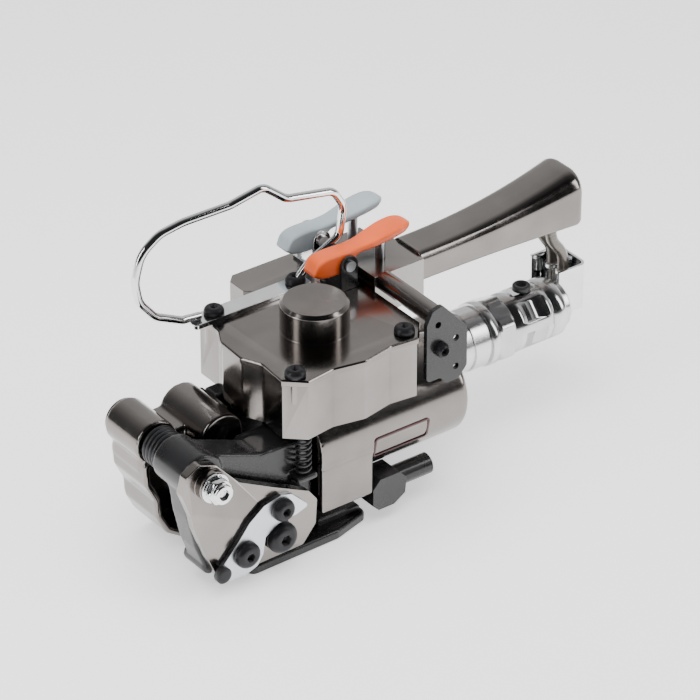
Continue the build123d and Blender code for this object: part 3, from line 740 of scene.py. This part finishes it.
class TENSIONER_OT_hoses(bpy.types.Operator):
    """Make the two short hoses, their fittings and the folded bracket"""

    bl_idname = "tensioner.hoses"
    bl_label = "Hoses"

    def execute(self, context):
        for node in ("near_hose", "far_hose"):
            low, high = (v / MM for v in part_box(node))
            y = (low.y + high.y) / 2
            route = [
                (HANDLE_HOSE_X, y, high.z), (HANDLE_HOSE_X - 0.2, y, 98), (195, y, 91),
                (BRACKET_HOSE_X + 0.4, y, 84), (BRACKET_HOSE_X, y, low.z),
            ]
            mesh = tube_mesh(node, route, sizes().hose_radius / MM, 20, smooth_order=4)
            made = piece(f"{node}_braided", mesh, None, "hose_sheath", [node])
            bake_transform(made)
        crimp = [(0, 4.2), (0.3, 4.6), (1.4, 4.6), (1.8, 4.2), (2.2, 4.6), (2.9, 4.5)]
        for name, nodes, body, x, z, way in (
            ("handle_ferrules", "handle_fittings", "root", HANDLE_HOSE_X, 109.5, -1),
            ("bracket_ferrules", "hose_fittings", "rocker", BRACKET_HOSE_X, 71.1, 1),
        ):
            rings = [turned("f", [(0 - 8 * (way > 0), 3.9), (0, 3.9)] + crimp, (x, y, z),
                (0, 0, way)) for y in (23, 33)]
            piece(name, joined(name, rings), body, "chrome", [nodes])
        low, high = (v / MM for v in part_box("hose_bracket"))
        fold = rounded([(low.x, high.y - 1, 0), (high.x - 1, high.y - 1, 4),
            (high.x - 1, low.y + 1, 4), (low.x, low.y + 1, 0)], 6, closed=False)
        points, faces = [], []
        for p in fold:
            points += [(p[0], p[1], 48), (p[0], p[1], high.z)]
        for index in range(len(fold) - 1):
            faces.append((2 * index, 2 * index + 1, 2 * index + 3, 2 * index + 2))
        mesh = mesh_of("hose_bracket_fold", points, faces, recalculate=False)
        made = piece("hose_bracket_fold", mesh, "rocker", "chrome", ["hose_bracket"])
        solid = made.modifiers.new("sheet", "SOLIDIFY")
        solid.thickness = 1.9 * MM
        solid.offset = 0.0
        bevel(made, 0.4)
        tray = rounded(
            [(low.x, low.y + 0.5, 1), (high.x - 1, low.y + 0.5, 4), (high.x - 1, high.y - 0.5, 4),
            (low.x, high.y - 0.5, 1)], 5
        )
        bevel(piece("hose_bracket_tray", prism("hose_bracket_tray", tray, 60, 62, "xy"), "rocker",
            "chrome", ["hose_bracket"]), 0.3)
        back = rounded([(low.y, 42, 3), (33, 42, 3), (33, 48, 2), (high.y, 48, 2), (high.y, 62, 1),
            (low.y, 62, 1)], 4)
        bevel(piece("hose_bracket_foot", prism("hose_bracket_foot", back, low.x, low.x + 2, "yz"),
            "rocker", "chrome", ["hose_bracket"]), 0.3)
        return {"FINISHED"}


class TENSIONER_OT_springs(bpy.types.Operator):
    """Make the wound rocker spring and the return spring"""

    bl_idname = "tensioner.springs"
    bl_label = "Springs"

    def execute(self, context):
        turns, per_turn = 4, 40
        path = []
        for step in range(turns * per_turn + 1):
            angle = 2 * math.pi * step / per_turn
            path.append((PIVOT.x / MM + 10.5 * math.cos(angle), 6.2 - 3.1 * step / per_turn,
                PIVOT.z / MM + 10.5 * math.sin(angle)))
        piece("rocker_spring_wire", tube_mesh("rocker_spring", path, 1.45, 12), "root",
            "spring_steel", ["rocker_spring"])
        low, high = (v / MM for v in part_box("return_spring"))
        x, y = (low.x + high.x) / 2, (low.y + high.y) / 2
        coils, per_turn = 6, 28
        path = []
        for step in range(coils * per_turn + 1):
            angle = 2 * math.pi * step / per_turn
            rise = (high.z - low.z - 1.7) * step / (coils * per_turn)
            path.append((x + 3.95 * math.cos(angle), y + 3.95 * math.sin(angle), low.z + 0.85 + rise))
        made = piece("return_spring_wire", tube_mesh("return_spring", path, 0.8, 10), None,
            "spring_steel", ["return_spring"])
        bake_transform(made)
        return {"FINISHED"}


class TENSIONER_OT_label(bpy.types.Operator):
    """Make the blank framed plate on the drive housing"""

    bl_idname = "tensioner.label"
    bl_label = "Label Frame"

    def execute(self, context):
        y0, z0 = (c / MM for c in DRIVE_AXIS)
        low, high = (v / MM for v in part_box("label_plate"))
        middle_x, middle_z = (low.x + high.x) / 2, (low.z + high.z) / 2
        half_x, half_z = (high.x - low.x) / 2, (high.z - low.z) / 2
        points, count = [], 0
        line = sizes().frame_line / MM
        for inset, radius in ((0.0, 30.1), (0.0, 30.6), (line, 30.6), (line, 30.1)):
            corners = [(-half_x + inset, -half_z + inset, 2.2 - inset),
                (half_x - inset, -half_z + inset, 2.2 - inset),
                       (half_x - inset, half_z - inset, 2.2 - inset),
                       (-half_x + inset, half_z - inset, 2.2 - inset)]
            outline = rounded(corners, 5)
            count = len(outline)
            for p in outline:
                height = middle_z + p[1] - z0
                points.append((middle_x + p[0], y0 - math.sqrt(radius ** 2 - height ** 2), z0 + height))
        faces = []
        for ring in range(3):
            for step in range(count):
                a, b = ring * count + step, ring * count + (step + 1) % count
                faces.append((a, b, b + count, a + count))
        for step in range(count):
            faces.append((3 * count + step, 3 * count + (step + 1) % count, (step + 1) % count, step))
        piece("label_frame", mesh_of("label_frame", points, faces), "rocker", "label_ink",
            ["label_plate"])
        return {"FINISHED"}


class TENSIONER_OT_finishes(bpy.types.Operator):
    """Give every frame node that still shows its finish"""

    bl_idname = "tensioner.finishes"
    bl_label = "Finishes"

    def execute(self, context):
        slots = {row["node"]: row["material_slot"] for row in frame["record"]["subparts"]}
        for node, shown in frame["nodes"].items():
            shown.data.materials.clear()
            shown.data.materials.append(finish(slots[node]))
        return {"FINISHED"}


def area_light(name, place, aim, power, width, height, mirrored):
    """A soft rectangular studio light."""
    data = bpy.data.lights.new(name, "AREA")
    data.shape = "RECTANGLE"
    data.size, data.size_y = width, height
    data.energy = power
    light = bpy.data.objects.new(name, data)
    light.location = place
    light.visible_glossy = mirrored
    light.rotation_mode = "QUATERNION"
    light.rotation_quaternion = (Vector(aim) - Vector(place)).to_track_quat("-Z", "Y")
    bpy.context.scene.collection.objects.link(light)


class TENSIONER_OT_stage(bpy.types.Operator):
    """Make the floor, the lights and the camera"""

    bl_idname = "tensioner.stage"
    bl_label = "Stage"

    def execute(self, context):
        scene = context.scene
        floor = bpy.data.meshes.new("floor")
        reach = 6.0
        floor.from_pydata([(-reach, -reach, 0), (reach, -reach, 0), (reach, reach, 0),
            (-reach, reach, 0)], [], [(0, 1, 2, 3)])
        ground = bpy.data.objects.new("floor", floor)
        ground.location.z = -0.0002
        floor.materials.append(finish("floor"))
        scene.collection.objects.link(ground)
        world = bpy.data.worlds.new("studio")
        world.use_nodes = True
        nodes, links = world.node_tree.nodes, world.node_tree.links
        coordinates = nodes.new("ShaderNodeTexCoord")
        ramp = nodes.new("ShaderNodeValToRGB")
        stops = ramp.color_ramp.elements
        stops[0].position, stops[0].color = 0.42, (0.03, 0.03, 0.032, 1)
        stops[1].position, stops[1].color = 0.86, (1.0, 1.0, 1.0, 1)
        middle_stop = stops.new(0.62)
        middle_stop.color = (0.2, 0.2, 0.205, 1)
        facing = nodes.new("ShaderNodeVectorMath")
        facing.operation = "DOT_PRODUCT"
        facing.inputs[1].default_value = AWAY_FROM_CAMERA
        half = nodes.new("ShaderNodeMapRange")
        half.inputs["From Min"].default_value = -1.0
        links.new(coordinates.outputs["Generated"], facing.inputs[0])
        links.new(facing.outputs["Value"], half.inputs["Value"])
        links.new(half.outputs["Result"], ramp.inputs[0])
        links.new(ramp.outputs[0], nodes["Background"].inputs["Color"])
        nodes["Background"].inputs["Strength"].default_value = 0.8
        scene.world = world
        middle = (frame_low + frame_high) / 2
        area_light("overhead", middle + Vector((-0.2, -0.1, 1.3)), middle, 42, 1.6, 1.6, False)
        area_light("left_strip", middle + Vector((-1.0, 0.15, 0.45)), middle, 4, 0.25, 0.9, True)
        area_light("right_strip", middle + Vector((0.75, -0.75, 0.5)), middle, 4, 0.25, 0.9, True)
        azimuth, elevation = math.radians(CAMERA_AZIMUTH), math.radians(CAMERA_ELEVATION)
        back = Vector((math.sin(azimuth) * math.cos(elevation),
            -math.cos(azimuth) * math.cos(elevation), math.sin(elevation)))
        right = Vector((math.cos(azimuth), math.sin(azimuth), 0))
        aim = CAMERA_AIM * MM + right * 1.8 * MM + back.cross(right) * 5.3 * MM
        data = bpy.data.cameras.new("camera")
        data.lens = CAMERA_LENS
        data.clip_start, data.clip_end = 0.05, 40
        camera = bpy.data.objects.new("camera", data)
        camera.location = aim + back * CAMERA_DISTANCE
        camera.rotation_mode = "QUATERNION"
        turn = Matrix((right, back.cross(right), back)).transposed()
        camera.rotation_quaternion = turn.to_quaternion()
        scene.collection.objects.link(camera)
        scene.camera = camera
        return {"FINISHED"}


class TENSIONER_PT_panel(bpy.types.Panel):
    """Lists the tool's operators"""

    bl_label = "Tensioner"
    bl_idname = "TENSIONER_PT_panel"
    bl_space_type = "VIEW_3D"
    bl_region_type = "UI"
    bl_category = "Tensioner"

    def draw(self, context):
        for name in TensionerSizes.__annotations__:
            self.layout.prop(context.scene.tensioner_sizes, name)
        for step in STEPS:
            self.layout.operator(step.bl_idname)


STEPS = (
    TENSIONER_OT_stage, TENSIONER_OT_finishes, TENSIONER_OT_castings, TENSIONER_OT_machined,
    TENSIONER_OT_handle,
    TENSIONER_OT_levers, TENSIONER_OT_hanger, TENSIONER_OT_screws, TENSIONER_OT_motor, TENSIONER_OT_hoses,
    TENSIONER_OT_springs, TENSIONER_OT_label,
)
CLASSES = (TensionerSizes, *STEPS, TENSIONER_PT_panel)


def register():
    """Registers the classes and the scene's settings."""
    for cls in CLASSES:
        bpy.utils.register_class(cls)
    bpy.types.Scene.tensioner_sizes = bpy.props.PointerProperty(type=TensionerSizes)


def unregister():
    """Takes the classes and the settings away again."""
    del bpy.types.Scene.tensioner_sizes
    for cls in reversed(CLASSES):
        bpy.utils.unregister_class(cls)


def main():
    """Builds the whole scene."""
    register()
    for step in STEPS:
        group, name = step.bl_idname.split(".")
        getattr(getattr(bpy.ops, group), name)()
    bpy.context.view_layer.update()


if __name__ == "__main__":
    main()
